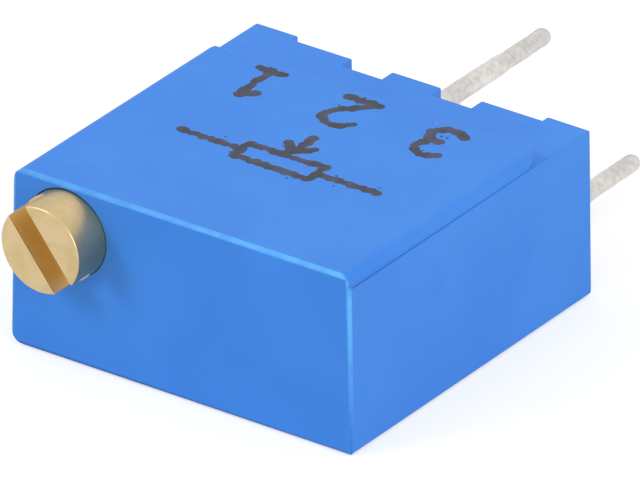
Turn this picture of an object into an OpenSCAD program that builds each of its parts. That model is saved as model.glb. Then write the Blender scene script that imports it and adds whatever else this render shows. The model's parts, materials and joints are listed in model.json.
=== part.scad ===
// Square multi-turn trimmer potentiometer with top adjustment, lying on its plain face.
// X runs along the screw face, Y from the screw face to the terminals, Z up from the plain face.
// The origin is the centre of the plain face. All lengths are in millimetres.

/* [Housing] */
// Width of the housing along the screw face
body_w = 9.53; // [9.3:0.01:10.5]
// Length from the screw face to the rim at the terminal end
body_l = 9.38; // [9.1:0.01:10.6]
// Height from the plain face to the level around the raised panel
body_h = 4.22; // [4.18:0.01:4.8]
// Draft of each side wall, in degrees
side_draft = 1.2; // [0:0.1:2]
// Thickness of the side walls at the plain face
side_wall = 0.52; // [0.45:0.01:0.56]
// Thickness of the wall behind the screw face
front_wall = 0.75; // [0.5:0.01:0.9]
// Thickness of the wall under the raised panel's level
top_wall = 0.36; // [0.3:0.01:0.4]
// Thickness of the floor that carries the substrate
floor_t = 0.9; // [0.85:0.01:0.95]
// Thickness of the floor under the terminals
rim_floor_t = 0.38; // [0.25:0.01:0.4]
// Radius of the lower left edge
rest_edge_r = 0.45; // [0.2:0.01:0.6]
// Radius of the other outer edges
edge_r = 0.1; // [0.04:0.01:0.14]

/* [Raised panel] */
// Rise of the panel above the level around it
panel_rise = 0.31; // [0.28:0.01:0.45]
// Length of the panel from the screw face
panel_l = 7.78; // [7:0.01:8.6]
// Step between the panel's foot and the side faces
panel_step = 0.05; // [0.02:0.01:0.15]
// Radius of the panel's upper edges
panel_edge_r = 0.26; // [0.1:0.01:0.28]
// Radius of the panel's rear corners in plan
panel_corner_r = 0.6; // [0.3:0.05:1]

/* [Rim] */
// Height of the stand-off feet above the rim
foot_h = 0.22; // [0.1:0.01:0.4]
// Width of each foot along the rim
foot_w = 1.27; // [0.8:0.01:1.6]
// Width of each notch in the rim
notch_w = 1.12; // [0.8:0.01:1.4]
// Depth of each notch below the rim
notch_depth = 0.43; // [0.2:0.01:0.5]
// Distance of each notch from the middle
notch_x = 1.25; // [1:0.01:1.5]

/* [Adjustment screw] */
// Diameter of the screw head
screw_d = 2.17; // [2.1:0.01:2.22]
// How far the head stands out of the screw face
screw_out = 1.07; // [0.9:0.01:1.6]
// Distance of the screw's axis from the left side at the plain face
screw_from_side = 1.62; // [1.6:0.01:1.75]
// Height of the screw's axis above the plain face
screw_z = 3.3; // [3.24:0.01:3.32]
// Width of the driver slot
slot_w = 0.58; // [0.4:0.01:0.8]
// Depth of the driver slot
slot_depth = 0.75; // [0.5:0.01:0.9]
// Turn of the driver slot from upright, in degrees
slot_turn = 38; // [0:1:90]
// Chamfer round the head
head_chamfer = 0.06; // [0.02:0.01:0.12]
// Length of the head inside the bore
head_in = 0.45; // [0.4:0.01:0.55]
// Cord thickness of the O-ring
oring_cord = 0.46; // [0.42:0.01:0.47]
// Length of each collar beside the grooves
collar_l = 0.18; // [0.12:0.01:0.22]
// Diameter of the screw at its retainer groove
neck_d = 1.24; // [1.1:0.01:1.3]
// Diameter of the tail journal
tail_d = 1; // [0.8:0.01:1.1]
// Length of the tail journal
tail_l = 0.8; // [0.6:0.01:1]

/* [Worm drive] */
// Number of teeth on the worm wheel, which is also the number of screw turns for one wheel turn
wheel_teeth = 33; // [30:1:36]
// Room beside the worm wheel's teeth, to the right wall
wheel_side_gap = 0.92; // [0.8:0.01:1.2]
// Pitch diameter of the worm
worm_pitch_d = 1.64; // [1.6:0.01:1.66]
// Pressure angle of the teeth, in degrees
pressure_angle = 20; // [16:1:24]
// Gap at each flank between the worm and the teeth
flank_gap = 0.04; // [0.03:0.005:0.06]
// Number of turns of the worm's thread
worm_turns = 6; // [6:1:7]
// Thickness of the toothed rim
wheel_t = 0.8; // [0.6:0.01:0.86]
// Travel of the wheel to each side of the middle, in degrees
half_travel = 135; // [120:1:140]
// Diameter of the pivot post that carries the wheel
pivot_d = 1.2; // [1:0.01:1.4]
// Diameter of the hub under the wheel
hub_d = 2.8; // [2.7:0.01:3.2]

/* [Element] */
// Thickness of the ceramic substrate
substrate_t = 0.62; // [0.5:0.01:0.66]
// Thickness of the printed films
film_t = 0.025; // [0.02:0.005:0.04]
// Distance of the resistive track's outer edge inside the wheel's tip circle
track_inset = 0.4; // [0.36:0.01:0.5]
// Width of the resistive track
track_w = 0.6; // [0.4:0.01:0.7]
// Mean radius of the collector ring
collector_r = 0.8; // [0.75:0.01:0.9]
// Width of the collector ring
collector_w = 0.5; // [0.4:0.01:0.6]
// Width of the printed leads
lead_w = 0.5; // [0.3:0.01:0.6]
// Thickness of the wiper's sheet
wiper_t = 0.1; // [0.08:0.01:0.12]

/* [Terminals] */
// Diameter of the terminal wire
pin_d = 0.48; // [0.44:0.01:0.52]
// Diameter of the terminals' thinner ends
pin_end_d = 0.43; // [0.36:0.01:0.44]
// Length of the terminals beyond the feet
pin_l = 5.08; // [3:0.01:8]
// Length of each terminal's thinner end
pin_end_l = 1.69; // [0.5:0.01:2.2]
// Length of the taper down to the thinner end
pin_taper_l = 0.56; // [0.54:0.01:0.8]
// Grid between neighbouring terminals
pin_pitch = 2.54; // [2.4:0.01:2.6]
// Height of terminals 1 and 3 above the plain face
pin_low_z = 0.66; // [0.64:0.01:0.67]
// Centre line radius of the bend in each terminal
pin_bend_r = 0.3; // [0.28:0.01:0.34]
// Length of the terminals' end of the housing, from the resin dam to the rim
terminal_bay_l = 2.59; // [2.5:0.01:2.7]
// Thickness of the resin dam
dam_t = 0.3; // [0.2:0.01:0.4]
// Depth of the resin's face below the rim
seal_depth = 0.5; // [0.45:0.01:0.7]

/* [Fits] */
// Radial gap of the turning fits
run_gap = 0.025; // [0.015:0.005:0.04]
// Gap between parts that rest or are cast against each other
seat_gap = 0.01; // [0.01:0.005:0.02]
// Gap round the turning parts inside the housing
free_gap = 0.12; // [0.1:0.01:0.15]

/* [Hidden] */
$fn = 48;
over = 0.5; // how far a cutting tool runs past what it cuts

// Housing levels
front_y = -body_l / 2;
rim_y = body_l / 2;
foot_y = rim_y + foot_h;
panel_z = body_h + panel_rise;
ceiling_z = body_h - top_wall;
bay_half = body_w / 2 - side_wall;

// Screw, as stations along Y from its head to its tail
screw_x = -body_w / 2 + screw_from_side;
screw_r = screw_d / 2;
bore_r = screw_r + run_gap;
neck_r = neck_d / 2;
groove_r = bore_r - oring_cord - 2 * seat_gap;
groove_l = oring_cord + 0.12;
clip_t = 0.25;
clip_half = bore_r + 0.16;
groove_y0 = front_y + head_in;
groove_y1 = groove_y0 + groove_l;
neck_y0 = groove_y1 + collar_l;
neck_y1 = neck_y0 + clip_t + 2 * run_gap;
collar_y1 = neck_y1 + collar_l;
gland_y = neck_y1 + 0.08;
gland_x = screw_x + clip_half + 0.14;

// Worm and wheel: the wheel is as large as the room across and along the housing lets it be
worm_pitch_r = worm_pitch_d / 2;
addendum_share = 0.9; // of the gear module
tip_share = 1 + 2 * addendum_share / wheel_teeth; // tip radius for each unit of pitch radius
room_x = bay_half - screw_x - worm_pitch_r - wheel_side_gap;
room_y = body_l - front_wall - terminal_bay_l - 2 * free_gap;
wheel_pitch_r = min(room_x / (1 + tip_share), room_y / (2 * tip_share));
gear_module = 2 * wheel_pitch_r / wheel_teeth;
worm_pitch = PI * gear_module;
lead_angle = atan(worm_pitch / (PI * worm_pitch_d));
addendum = addendum_share * gear_module;
dedendum = addendum + 0.04;
wheel_tip_r = wheel_pitch_r + addendum;
wheel_root_r = wheel_pitch_r - dedendum;
worm_tip_r = worm_pitch_r + addendum;
worm_root_r = worm_pitch_r - dedendum;
tunnel_r = worm_tip_r + 0.05;
wheel_x = screw_x + worm_pitch_r + wheel_pitch_r;
clear_wheel_r = wheel_tip_r + free_gap;
wheel_y = max(front_y + front_wall + clear_wheel_r,
              gland_y + sqrt(clear_wheel_r ^ 2 - (wheel_x - gland_x) ^ 2));
worm_half = worm_pitch * (worm_turns + 1) / 2;
worm_y1 = wheel_y + worm_half + 0.05;
tail_y1 = worm_y1 + tail_l;
tail_r = tail_d / 2;
tunnel_y1 = worm_y1 + run_gap;
block_y = tail_y1 + 0.3;
drive_x = wheel_x - clear_wheel_r;
wheel_z0 = screw_z - wheel_t / 2;
wheel_z1 = screw_z + wheel_t / 2;
pivot_r = pivot_d / 2;
hub_r = hub_d / 2;

// Lug on the wheel and the sector that it runs against
lug_half_angle = 8;
lug_w = 0.45;
lug_r = wheel_root_r - 0.51;
lug_gap = 0.04; // above the wheel and under the ceiling
lug_h = ceiling_z - wheel_z1 - lug_gap;
stop_half_angle = 180 - half_travel - lug_half_angle - 1;

// Element, from the floor up
substrate_z1 = floor_t + substrate_t;
film_z1 = substrate_z1 + film_t;
block_z = substrate_z1 + 0.45;
substrate_half = bay_half - 0.08;
substrate_y0 = front_y + front_wall + 0.1;
pin_r = pin_d / 2;
pin_end_r = pin_end_d / 2;
pin_tip_y = foot_y + pin_l;
taper_y1 = pin_tip_y - pin_end_l;
taper_y0 = taper_y1 - pin_taper_l;
pin_high_z = pin_low_z + pin_pitch;
dam_y0 = max(rim_y - terminal_bay_l, wheel_y + clear_wheel_r, block_y);
dam_y1 = dam_y0 + dam_t;
leg_y = dam_y1 + 0.48;
substrate_y1 = leg_y + 0.5;
seal_y = rim_y - seal_depth;
leg_top_z = film_z1 + 0.28;
land_r = 0.52;
hole_r = pin_r + 0.06;
solder_r = 0.48;
solder_land = 0.05; // width of its rim against the leg, and height of its foot
solder_fillet_r = solder_r - pin_r - seat_gap - solder_land;
solder_h = solder_fillet_r + solder_land;
track_r = wheel_tip_r - track_inset - track_w / 2;

// Wiper, hung from the hub
wiper_drop = 0.62;
wiper_z0 = film_z1 + wiper_drop;
wiper_z1 = wiper_z0 + wiper_t;
stake_r = 0.22;
stakes = [[-0.72, 0.45], [0.72, 0.45]];
contact_gap = 0.012;
finger_w = 0.16;
finger_gap = 0.06;
finger_root = 0.85;
arm_w = 0.55;

// Terminal number, its place across the housing and the height at which it leaves
function pin_x(n) = (n - 2) * pin_pitch;
function pin_z(n) = n == 2 ? pin_high_z : pin_low_z;

// Points of an arc about a centre, from one angle to another
function arc(c, r, a0, a1, steps) =
  [for (i = [0 : steps]) c + r * [cos(a0 + (a1 - a0) * i / steps), sin(a0 + (a1 - a0) * i / steps)]];

// An outline lying in the XZ plane, extruded along Y from y0 to y1
module along_y(y0, y1) {
  translate([0, y1, 0]) rotate([90, 0, 0]) linear_extrude(y1 - y0) children();
}

// An outline whose x is Y and whose y is Z, extruded along X from x0 to x1
module along_x(x0, x1) {
  translate([x0, 0, 0]) rotate([90, 0, 90]) linear_extrude(x1 - x0) children();
}

// A round bar along Y
module bar_y(x, z, r, y0, y1) {
  translate([x, y0, z]) rotate([-90, 0, 0]) cylinder(r = r, h = y1 - y0);
}

// A block between two corners
module block(a, b) {
  translate(a) cube(b - a);
}

// Cross-section of the moulding below the panel, drafted, with its lower left edge rounded
module cross_section() {
  lean = tan(side_draft);
  half = body_w / 2;
  polygon(concat(
    arc([rest_edge_r - half, rest_edge_r], rest_edge_r, 180 - side_draft, 270, 8),
    arc([half - edge_r, edge_r], edge_r, 270, 360 + side_draft, 3),
    [[half - body_h * lean, body_h], [body_h * lean - half, body_h]]
  ));
}

// Cross-section of the raised panel, with soft upper edges
module panel_section() {
  half = body_w / 2 - body_h * tan(side_draft) - panel_step;
  r = panel_edge_r;
  polygon(concat(
    [[-half, body_h - over], [half, body_h - over]],
    arc([half - r, panel_z - r], r, 0, 90, 6),
    arc([r - half, panel_z - r], r, 90, 180, 6)
  ));
}

// Plan of the raised panel, with round rear corners
module panel_plan() {
  half = body_w / 2 - body_h * tan(side_draft) - panel_step;
  r = panel_corner_r;
  y = front_y + panel_l;
  polygon(concat(
    [[-half, front_y], [half, front_y]],
    arc([half - r, y - r], r, 0, 90, 8),
    arc([r - half, y - r], r, 90, 180, 8)
  ));
}

// Side view of the panel, with a soft rear edge
module panel_side() {
  r = panel_edge_r;
  y = front_y + panel_l;
  polygon(concat(
    [[front_y, panel_z], [front_y, body_h - over], [y, body_h - over]],
    arc([y - r, panel_z - r], r, 0, 90, 6)
  ));
}

// Side view of the whole moulding, with soft edges round the screw face
module side_view() {
  polygon(concat(
    [[foot_y, 0], [foot_y, panel_z]],
    arc([front_y + edge_r, panel_z - edge_r], edge_r, 90, 180, 3),
    arc([front_y + edge_r, edge_r], edge_r, 180, 270, 3)
  ));
}

// The plan leaned with one side wall, so that the upright front edge on that side is soft
module leaned_plan(side) {
  scale([side, 1, 1])
    translate([body_w / 2, 0, 0]) rotate([0, -side_draft, 0]) translate([0, 0, -over])
      linear_extrude(panel_z + 2 * over)
        polygon(concat(
          [[0, foot_y], [-2 * body_w, foot_y], [-2 * body_w, front_y]],
          arc([-edge_r, front_y + edge_r], edge_r, 270, 360, 3)
        ));
}

module outer_shape() {
  intersection() {
    union() {
      along_y(front_y, foot_y) cross_section();
      intersection() {
        along_y(front_y, front_y + panel_l) panel_section();
        along_x(-body_w, body_w) panel_side();
        translate([0, 0, body_h - over]) linear_extrude(panel_rise + 2 * over) panel_plan();
      }
    }
    along_x(-body_w, body_w) side_view();
    leaned_plan(1);
    leaned_plan(-1);
  }
}

// The rim drops between the feet, and two notches are cut through its upper wall
module rim_cuts() {
  inner = body_w / 2 - foot_w;
  block([-inner, rim_y, -over], [inner, foot_y + over, panel_z + over]);
  for (side = [-1, 1])
    block([side * notch_x - notch_w / 2, rim_y - notch_depth, ceiling_z - over],
          [side * notch_x + notch_w / 2, foot_y + over, panel_z + over]);
}

// Room for the element, the wheel and the resin
module bays() {
  block([-bay_half, front_y + front_wall, floor_t], [bay_half, foot_y + over, block_z]);
  block([gland_x, front_y + front_wall, floor_t], [bay_half, gland_y, ceiling_z]);
  block([drive_x, gland_y, floor_t], [bay_half, foot_y + over, ceiling_z]);
  block([-bay_half, dam_y0, substrate_z1], [bay_half, foot_y + over, ceiling_z]);
  block([-bay_half, dam_y1, rim_floor_t], [bay_half, foot_y + over, ceiling_z]);
}

// Bore, worm tunnel and tail bearing, all on the screw's axis
module screw_bores() {
  bar_y(screw_x, screw_z, bore_r, front_y - over, collar_y1 + run_gap);
  bar_y(screw_x, screw_z, tunnel_r, collar_y1, tunnel_y1);
  bar_y(screw_x, screw_z, tail_r + run_gap, tunnel_y1 - over, tail_y1 + run_gap);
  block([screw_x - clip_half - seat_gap, neck_y0 + run_gap - seat_gap, floor_t],
        [screw_x + clip_half + seat_gap, neck_y1 - run_gap + seat_gap, screw_z + neck_r + 0.2]);
}

// The post that the wheel turns on, and the sector that stops its lug at both ends of travel
module pivot_and_stop() {
  translate([wheel_x, wheel_y, wheel_z0 + 0.1]) cylinder(r = pivot_r, h = ceiling_z - wheel_z0);
  translate([wheel_x, wheel_y, wheel_z1 + lug_gap])
    rotate([0, 0, 90 - stop_half_angle]) rotate_extrude(angle = 2 * stop_half_angle)
      translate([lug_r - lug_w / 2, 0]) square([lug_w, ceiling_z - wheel_z1]);
}

module housing() {
  color([0.27, 0.53, 0.9]) {
    difference() {
      outer_shape();
      rim_cuts();
      bays();
      screw_bores();
    }
    pivot_and_stop();
  }
}

// The worm's thread as one ridge: a trapezium that climbs along the screw's axis
module worm_thread() {
  steps_a_turn = 24;
  steps = worm_turns * steps_a_turn;
  sunk_r = worm_root_r - 0.03;
  y0 = wheel_y + worm_pitch / 4 - worm_pitch * worm_turns / 2;
  function half_w(r) = worm_pitch / 4 - flank_gap / 2 - (r - worm_pitch_r) * tan(pressure_angle);
  profile = [
    [sunk_r, -half_w(sunk_r)], [worm_tip_r, -half_w(worm_tip_r)],
    [worm_tip_r, half_w(worm_tip_r)], [sunk_r, half_w(sunk_r)]
  ];
  points = [for (i = [0 : steps], p = profile)
    let (a = 360 * i / steps_a_turn)
      [p[0] * sin(a), y0 + worm_pitch * i / steps_a_turn + p[1], p[0] * cos(a)]];
  sides = [for (i = [0 : steps - 1], j = [0 : 3])
    let (a = 4 * i + j, b = 4 * i + (j + 1) % 4)
      each [[a, b, b + 4], [a, b + 4, a + 4]]];
  last = 4 * steps;
  ends = [[3, 2, 1], [3, 1, 0], [last, last + 1, last + 2], [last, last + 2, last + 3]];
  translate([screw_x, 0, screw_z]) polyhedron(points, concat(sides, ends));
}

// The screw's turned outline: radius and station, from the head to the tail
module turned_screw() {
  head_y = front_y - screw_out;
  translate([screw_x, 0, screw_z]) rotate([-90, 0, 0]) rotate_extrude() polygon([
    [0, head_y], [screw_r - head_chamfer, head_y], [screw_r, head_y + head_chamfer],
    [screw_r, groove_y0], [groove_r, groove_y0], [groove_r, groove_y1], [screw_r, groove_y1],
    [screw_r, neck_y0], [neck_r, neck_y0], [neck_r, neck_y1], [screw_r, neck_y1],
    [screw_r, collar_y1], [worm_root_r, collar_y1], [worm_root_r, worm_y1], [tail_r, worm_y1],
    [tail_r, tail_y1 - 0.1], [tail_r - 0.1, tail_y1], [0, tail_y1]
  ]);
}

module adjustment_screw() {
  head_y = front_y - screw_out;
  color([0.82, 0.68, 0.38]) {
    difference() {
      turned_screw();
      translate([screw_x, head_y, screw_z]) rotate([0, -slot_turn, 0])
        block([-slot_w / 2, -over, -screw_d], [slot_w / 2, slot_depth, screw_d]);
    }
    worm_thread();
  }
}

module screw_o_ring() {
  cord_r = oring_cord / 2;
  color([0.12, 0.12, 0.13])
    translate([screw_x, (groove_y0 + groove_y1) / 2, screw_z]) rotate([90, 0, 0])
      rotate_extrude() translate([bore_r - seat_gap - cord_r, 0]) circle(r = cord_r);
}

// A fork pushed up from the substrate, which then keeps it in place
module screw_retainer() {
  foot_z = substrate_z1 + seat_gap;
  top_z = screw_z + neck_r + 0.1;
  slot_half = neck_r + run_gap;
  color([0.78, 0.7, 0.55])
    along_y(neck_y0 + run_gap, neck_y0 + run_gap + clip_t) translate([screw_x, 0]) difference() {
      translate([-clip_half, foot_z]) square([2 * clip_half, top_z - foot_z]);
      translate([0, screw_z]) circle(r = slot_half);
      translate([-slot_half, screw_z]) square([2 * slot_half, top_z]);
    }
}

// The space between two teeth: involute flanks in the plane of the wheel
module tooth_gap() {
  base_r = wheel_pitch_r * cos(pressure_angle);
  function inv(a) = tan(a) - a * PI / 180;
  function half_gap(r) = let (a = acos(min(1, base_r / r)))
    180 / wheel_teeth - (worm_pitch / 2 - flank_gap) / 2 / wheel_pitch_r * 180 / PI
    - (inv(pressure_angle) - inv(a)) * 180 / PI;
  stations = [wheel_root_r, wheel_pitch_r - 0.4 * addendum, wheel_pitch_r + 0.3 * addendum,
              wheel_tip_r, wheel_tip_r + 0.1];
  n = len(stations) - 1;
  polygon(concat(
    [for (i = [0 : n]) stations[i] * [cos(half_gap(stations[i])), sin(half_gap(stations[i]))]],
    [for (i = [n : -1 : 0]) stations[i] * [cos(half_gap(stations[i])), -sin(half_gap(stations[i]))]]
  ));
}

module toothed_rim() {
  difference() {
    translate([0, 0, wheel_z0]) cylinder(r = wheel_tip_r, h = wheel_t);
    for (i = [0 : wheel_teeth - 1])
      rotate([0, 0, 180 + (i + 0.5) * 360 / wheel_teeth]) translate([0, 0, screw_z])
        rotate([-lead_angle, 0, 0]) linear_extrude(2 * wheel_t, center = true) tooth_gap();
  }
}

module worm_wheel() {
  bearing_z = ceiling_z - 0.02;
  color([0.93, 0.92, 0.86])
    translate([wheel_x, wheel_y, 0]) {
      difference() {
        union() {
          toothed_rim();
          translate([0, 0, wiper_z1]) cylinder(r = hub_r, h = wheel_z0 - wiper_z1 + 0.1);
          translate([0, 0, wheel_z1 - 0.1]) cylinder(r = pivot_r + 0.35, h = bearing_z - wheel_z1 + 0.1);
        }
        translate([0, 0, wheel_z0]) cylinder(r = pivot_r + run_gap, h = ceiling_z);
      }
      rotate([0, 0, -90 - lug_half_angle]) rotate_extrude(angle = 2 * lug_half_angle)
        translate([lug_r - lug_w / 2, wheel_z1 - 0.1]) square([lug_w, lug_h + 0.1]);
      for (at = stakes)
        translate([at[0], at[1], wiper_z0 - stake_r / 2]) cylinder(r = stake_r, h = wiper_t + stake_r);
    }
}

// Fingers side by side at one radius. Each slopes from the sheet to the film and turns up at its tip
module fingers(at_r, count) {
  tip_z = film_z1 + contact_gap;
  t = wiper_t;
  root = finger_root;
  step = finger_w + finger_gap;
  first = at_r - (count * step - finger_gap) / 2;
  for (k = [0 : count - 1])
    translate([0, -first - k * step, 0]) rotate([90, 0, 0])
      linear_extrude(finger_w) polygon([
        [root + t, wiper_z1], [root + t, wiper_z0], [root, wiper_z0],
        [2 * t, tip_z + t * 0.35], [t / 2, tip_z], [-0.8 * t, tip_z + 0.2 * t],
        [-2 * t, tip_z + 1.2 * t], [-2.6 * t, tip_z + 2 * t], [-1.8 * t, tip_z + 2.4 * t],
        [-0.4 * t, tip_z + 1.2 * t], [0.4 * t, tip_z + t], [1.6 * t, tip_z + t * 1.35],
        [root - t / 2, wiper_z1]
      ]);
}

module wiper_contact() {
  reach = track_r + track_w / 2;
  window_half = collector_w / 2 + 0.05;
  color([0.86, 0.84, 0.76])
    translate([wheel_x, wheel_y, 0]) {
      difference() {
        translate([0, 0, wiper_z0]) linear_extrude(wiper_t) {
          circle(r = hub_r - 0.05);
          translate([finger_root, -reach]) square([arm_w, reach]);
        }
        block([-0.5, -collector_r - window_half, wiper_z0 - over],
              [finger_root, window_half - collector_r, wiper_z1 + over]);
        for (at = stakes)
          translate([at[0], at[1], wiper_z0 - over])
            cylinder(r = stake_r + seat_gap, h = wiper_t + 2 * over);
      }
      fingers(track_r, 3);
      fingers(collector_r, 2);
    }
}

module ceramic_substrate() {
  color([0.93, 0.93, 0.9])
    difference() {
      block([-substrate_half, substrate_y0, floor_t], [substrate_half, substrate_y1, substrate_z1]);
      for (n = [1 : 3])
        translate([pin_x(n), leg_y, 0]) cylinder(r = hole_r, h = substrate_z1 + over);
    }
}

// Plan of the resistive track, open towards the terminals
module track_plan() {
  difference() {
    circle(r = track_r + track_w / 2);
    circle(r = track_r - track_w / 2);
    reach = 2 * track_r;
    half_open = 180 - half_travel;
    polygon([[0, 0], reach * [sin(half_open), cos(half_open)], [0, 2 * reach],
             reach * [-sin(half_open), cos(half_open)]]);
  }
}

module resistive_track() {
  color([0.13, 0.12, 0.12])
    translate([wheel_x, wheel_y, substrate_z1]) linear_extrude(film_t) track_plan();
}

// A straight printed lead between two points
module lead(a, b) {
  d = b - a;
  translate(a) rotate(atan2(d[1], d[0])) translate([0, -lead_w / 2]) square([norm(d), lead_w]);
}

module end_pad(n) {
  side = n == 1 ? -1 : 1;
  at = 180 - half_travel - 9;
  start = [wheel_x, wheel_y] + track_r * [side * sin(at), cos(at)];
  color([0.72, 0.71, 0.68])
    translate([0, 0, substrate_z1]) linear_extrude(film_t) difference() {
      union() {
        lead(start, [pin_x(n), leg_y]);
        translate(start) circle(r = lead_w / 2 + 0.1);
        translate([pin_x(n), leg_y]) circle(r = land_r);
      }
      translate([wheel_x, wheel_y]) track_plan();
      translate([pin_x(n), leg_y]) circle(r = hole_r);
    }
}

module collector_track() {
  color([0.72, 0.71, 0.68])
    translate([0, 0, substrate_z1]) linear_extrude(film_t) difference() {
      union() {
        translate([wheel_x, wheel_y]) circle(r = collector_r + collector_w / 2);
        lead([wheel_x, wheel_y + collector_r], [pin_x(2), leg_y]);
        translate([pin_x(2), leg_y]) circle(r = land_r);
      }
      translate([wheel_x, wheel_y]) circle(r = collector_r - collector_w / 2);
      translate([pin_x(2), leg_y]) circle(r = hole_r);
    }
}

// A terminal's wire, grown by a gap: a leg through the substrate, one bend and a run out of the housing
module terminal_wire(n, grow) {
  r = pin_r + grow;
  z = pin_z(n);
  up = z > substrate_z1;
  leg_z0 = up ? floor_t - 0.02 : z + pin_bend_r;
  leg_z1 = up ? z - pin_bend_r : leg_top_z;
  translate([pin_x(n), leg_y, leg_z0]) cylinder(r = r, h = leg_z1 - leg_z0);
  translate([pin_x(n), leg_y + pin_bend_r, up ? leg_z1 : leg_z0])
    rotate([90, 0, 90]) rotate(up ? 90 : 180)
      rotate_extrude(angle = 90) translate([pin_bend_r, 0]) circle(r = r);
  bar_y(pin_x(n), z, r, leg_y + pin_bend_r, taper_y0);
}

// The wire, its taper, and the thinner end with its round tip
module terminal(n) {
  color([0.8, 0.79, 0.77]) {
    terminal_wire(n, 0);
    translate([pin_x(n), taper_y0, pin_z(n)]) rotate([-90, 0, 0])
      cylinder(r1 = pin_r, r2 = pin_end_r, h = pin_taper_l);
    bar_y(pin_x(n), pin_z(n), pin_end_r, taper_y1, pin_tip_y - pin_end_r);
    translate([pin_x(n), pin_tip_y - pin_end_r, pin_z(n)]) sphere(r = pin_end_r);
  }
}

// A solder fillet that rises against the leg from the printed land
module solder_joint(n) {
  color([0.7, 0.7, 0.71])
    translate([pin_x(n), leg_y, film_z1]) rotate_extrude() polygon(concat(
      [[pin_r + seat_gap, 0], [solder_r, 0]],
      arc([solder_r, solder_h], solder_fillet_r, 270, 180, 6),
      [[pin_r + seat_gap, solder_h]]
    ));
}

module resin_dam() {
  gap = seat_gap;
  color([0.2, 0.4, 0.7])
    block([-bay_half + gap, dam_y0, film_z1], [bay_half - gap, dam_y1, ceiling_z - gap]);
}

module end_seal() {
  gap = seat_gap;
  color([0.16, 0.3, 0.6])
    difference() {
      block([-bay_half, dam_y1, rim_floor_t], [bay_half, seal_y, ceiling_z]);
      block([-substrate_half - gap, dam_y1 - over, floor_t],
            [substrate_half + gap, substrate_y1 + gap, film_z1]);
      for (n = [1 : 3]) {
        terminal_wire(n, gap);
        translate([pin_x(n), leg_y, film_z1 - over])
          cylinder(r = solder_r + gap, h = over + solder_h + gap);
      }
    }
}

housing();
adjustment_screw();
screw_o_ring();
screw_retainer();
worm_wheel();
wiper_contact();
ceramic_substrate();
resistive_track();
collector_track();
end_pad(1);  // end_pad_1
end_pad(3);  // end_pad_3
terminal(1);  // terminal_1
terminal(2);  // terminal_2
terminal(3);  // terminal_3
solder_joint(1);  // solder_joint_1
solder_joint(2);  // solder_joint_2
solder_joint(3);  // solder_joint_3
resin_dam();
end_seal();
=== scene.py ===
# Looks of the trimmer potentiometer. Lengths below are in millimetres, and MM turns them into metres.
import json
import math

import bmesh
import bpy
from mathutils import Matrix, Vector


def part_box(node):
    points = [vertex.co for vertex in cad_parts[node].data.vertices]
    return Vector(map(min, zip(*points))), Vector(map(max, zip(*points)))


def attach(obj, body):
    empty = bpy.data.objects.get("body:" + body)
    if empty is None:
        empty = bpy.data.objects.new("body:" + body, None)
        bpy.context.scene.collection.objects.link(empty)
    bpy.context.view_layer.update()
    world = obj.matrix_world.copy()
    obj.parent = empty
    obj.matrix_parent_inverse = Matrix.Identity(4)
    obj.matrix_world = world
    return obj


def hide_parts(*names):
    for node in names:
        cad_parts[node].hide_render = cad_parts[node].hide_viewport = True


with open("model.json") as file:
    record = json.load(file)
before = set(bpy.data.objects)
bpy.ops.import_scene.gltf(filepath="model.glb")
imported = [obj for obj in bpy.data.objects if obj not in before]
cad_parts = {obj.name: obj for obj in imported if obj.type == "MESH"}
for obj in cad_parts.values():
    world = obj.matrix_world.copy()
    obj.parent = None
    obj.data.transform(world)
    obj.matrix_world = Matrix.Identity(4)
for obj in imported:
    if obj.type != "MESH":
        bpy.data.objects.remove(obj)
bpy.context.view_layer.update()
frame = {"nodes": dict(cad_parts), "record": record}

MM = 0.001


def low(node):
    """Lowest corner of a CAD node, in millimetres"""
    return Vector(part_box(node)[0]) / MM


def high(node):
    """Highest corner of a CAD node, in millimetres"""
    return Vector(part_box(node)[1]) / MM


# Sizes of the part, as in the CAD
RIM_Y = 4.69
SEAL_Y = 4.19
SCREW_TURN = 38
SCREW_R = 1.085
SCREW_Z = 3.3
SLOT_W = 0.58
SLOT_DEPTH = 0.75
WORM_PITCH_R = 0.82
WORM_TIP_R = 0.97
WORM_ROOT_R = 0.63
WORM_PITCH = 0.523599
WORM_TURNS = 6
WHEEL_Y = -0.92
FLANK_GAP = 0.04
PRESSURE_ANGLE = 20
PIN_PITCH = 2.54
PIN_R = 0.24
PIN_END_R = 0.215
PIN_LOW_Z = 0.66
PIN_BEND_R = 0.3
TAPER_START_Y = 7.74
TAPER_END_Y = 8.3
PANEL_Z = high("housing").z
FRONT_Y = low("housing").y
HEAD_Y = low("adjustment_screw").y
SCREW_X = low("housing").x + 1.62
TIP_Y = high("terminal_2").y
INK_THICKNESS = 0.004
RESIN_ROOT = 0.05  # how far the resin skin's slab reaches into the resin
HIGHLIGHT_ATTRIBUTE = "painted_highlight"  # name of the attribute that marks where the housing's material paints a highlight on its edges
HIGHLIGHT_DEPTH = 0.13  # how far the painted edge highlight runs back from the screw face


class Value:
    """A node's output that can stand in sums and products"""

    def __init__(self, graph, socket):
        self.graph = graph
        self.socket = socket

    def maths(self, operation, *operands):
        return self.graph.node("ShaderNodeMath", dict(enumerate(operands)), operation=operation)

    def __add__(self, other):
        return self.maths("ADD", self, other)

    def __sub__(self, other):
        return self.maths("SUBTRACT", self, other)

    def __rsub__(self, other):
        return self.maths("SUBTRACT", other, self)

    def __mul__(self, other):
        return self.maths("MULTIPLY", self, other)

    def __truediv__(self, other):
        return self.maths("DIVIDE", self, other)

    __radd__ = __add__
    __rmul__ = __mul__

    def eased(self, from_low, from_high, to_low=0.0, to_high=1.0):
        """The value carried smoothly from one range to another, and held inside it"""
        inputs = {"Value": self, "From Min": from_low, "From Max": from_high,
                  "To Min": to_low, "To Max": to_high}
        return self.graph.node("ShaderNodeMapRange", inputs, interpolation_type="SMOOTHSTEP")


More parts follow.
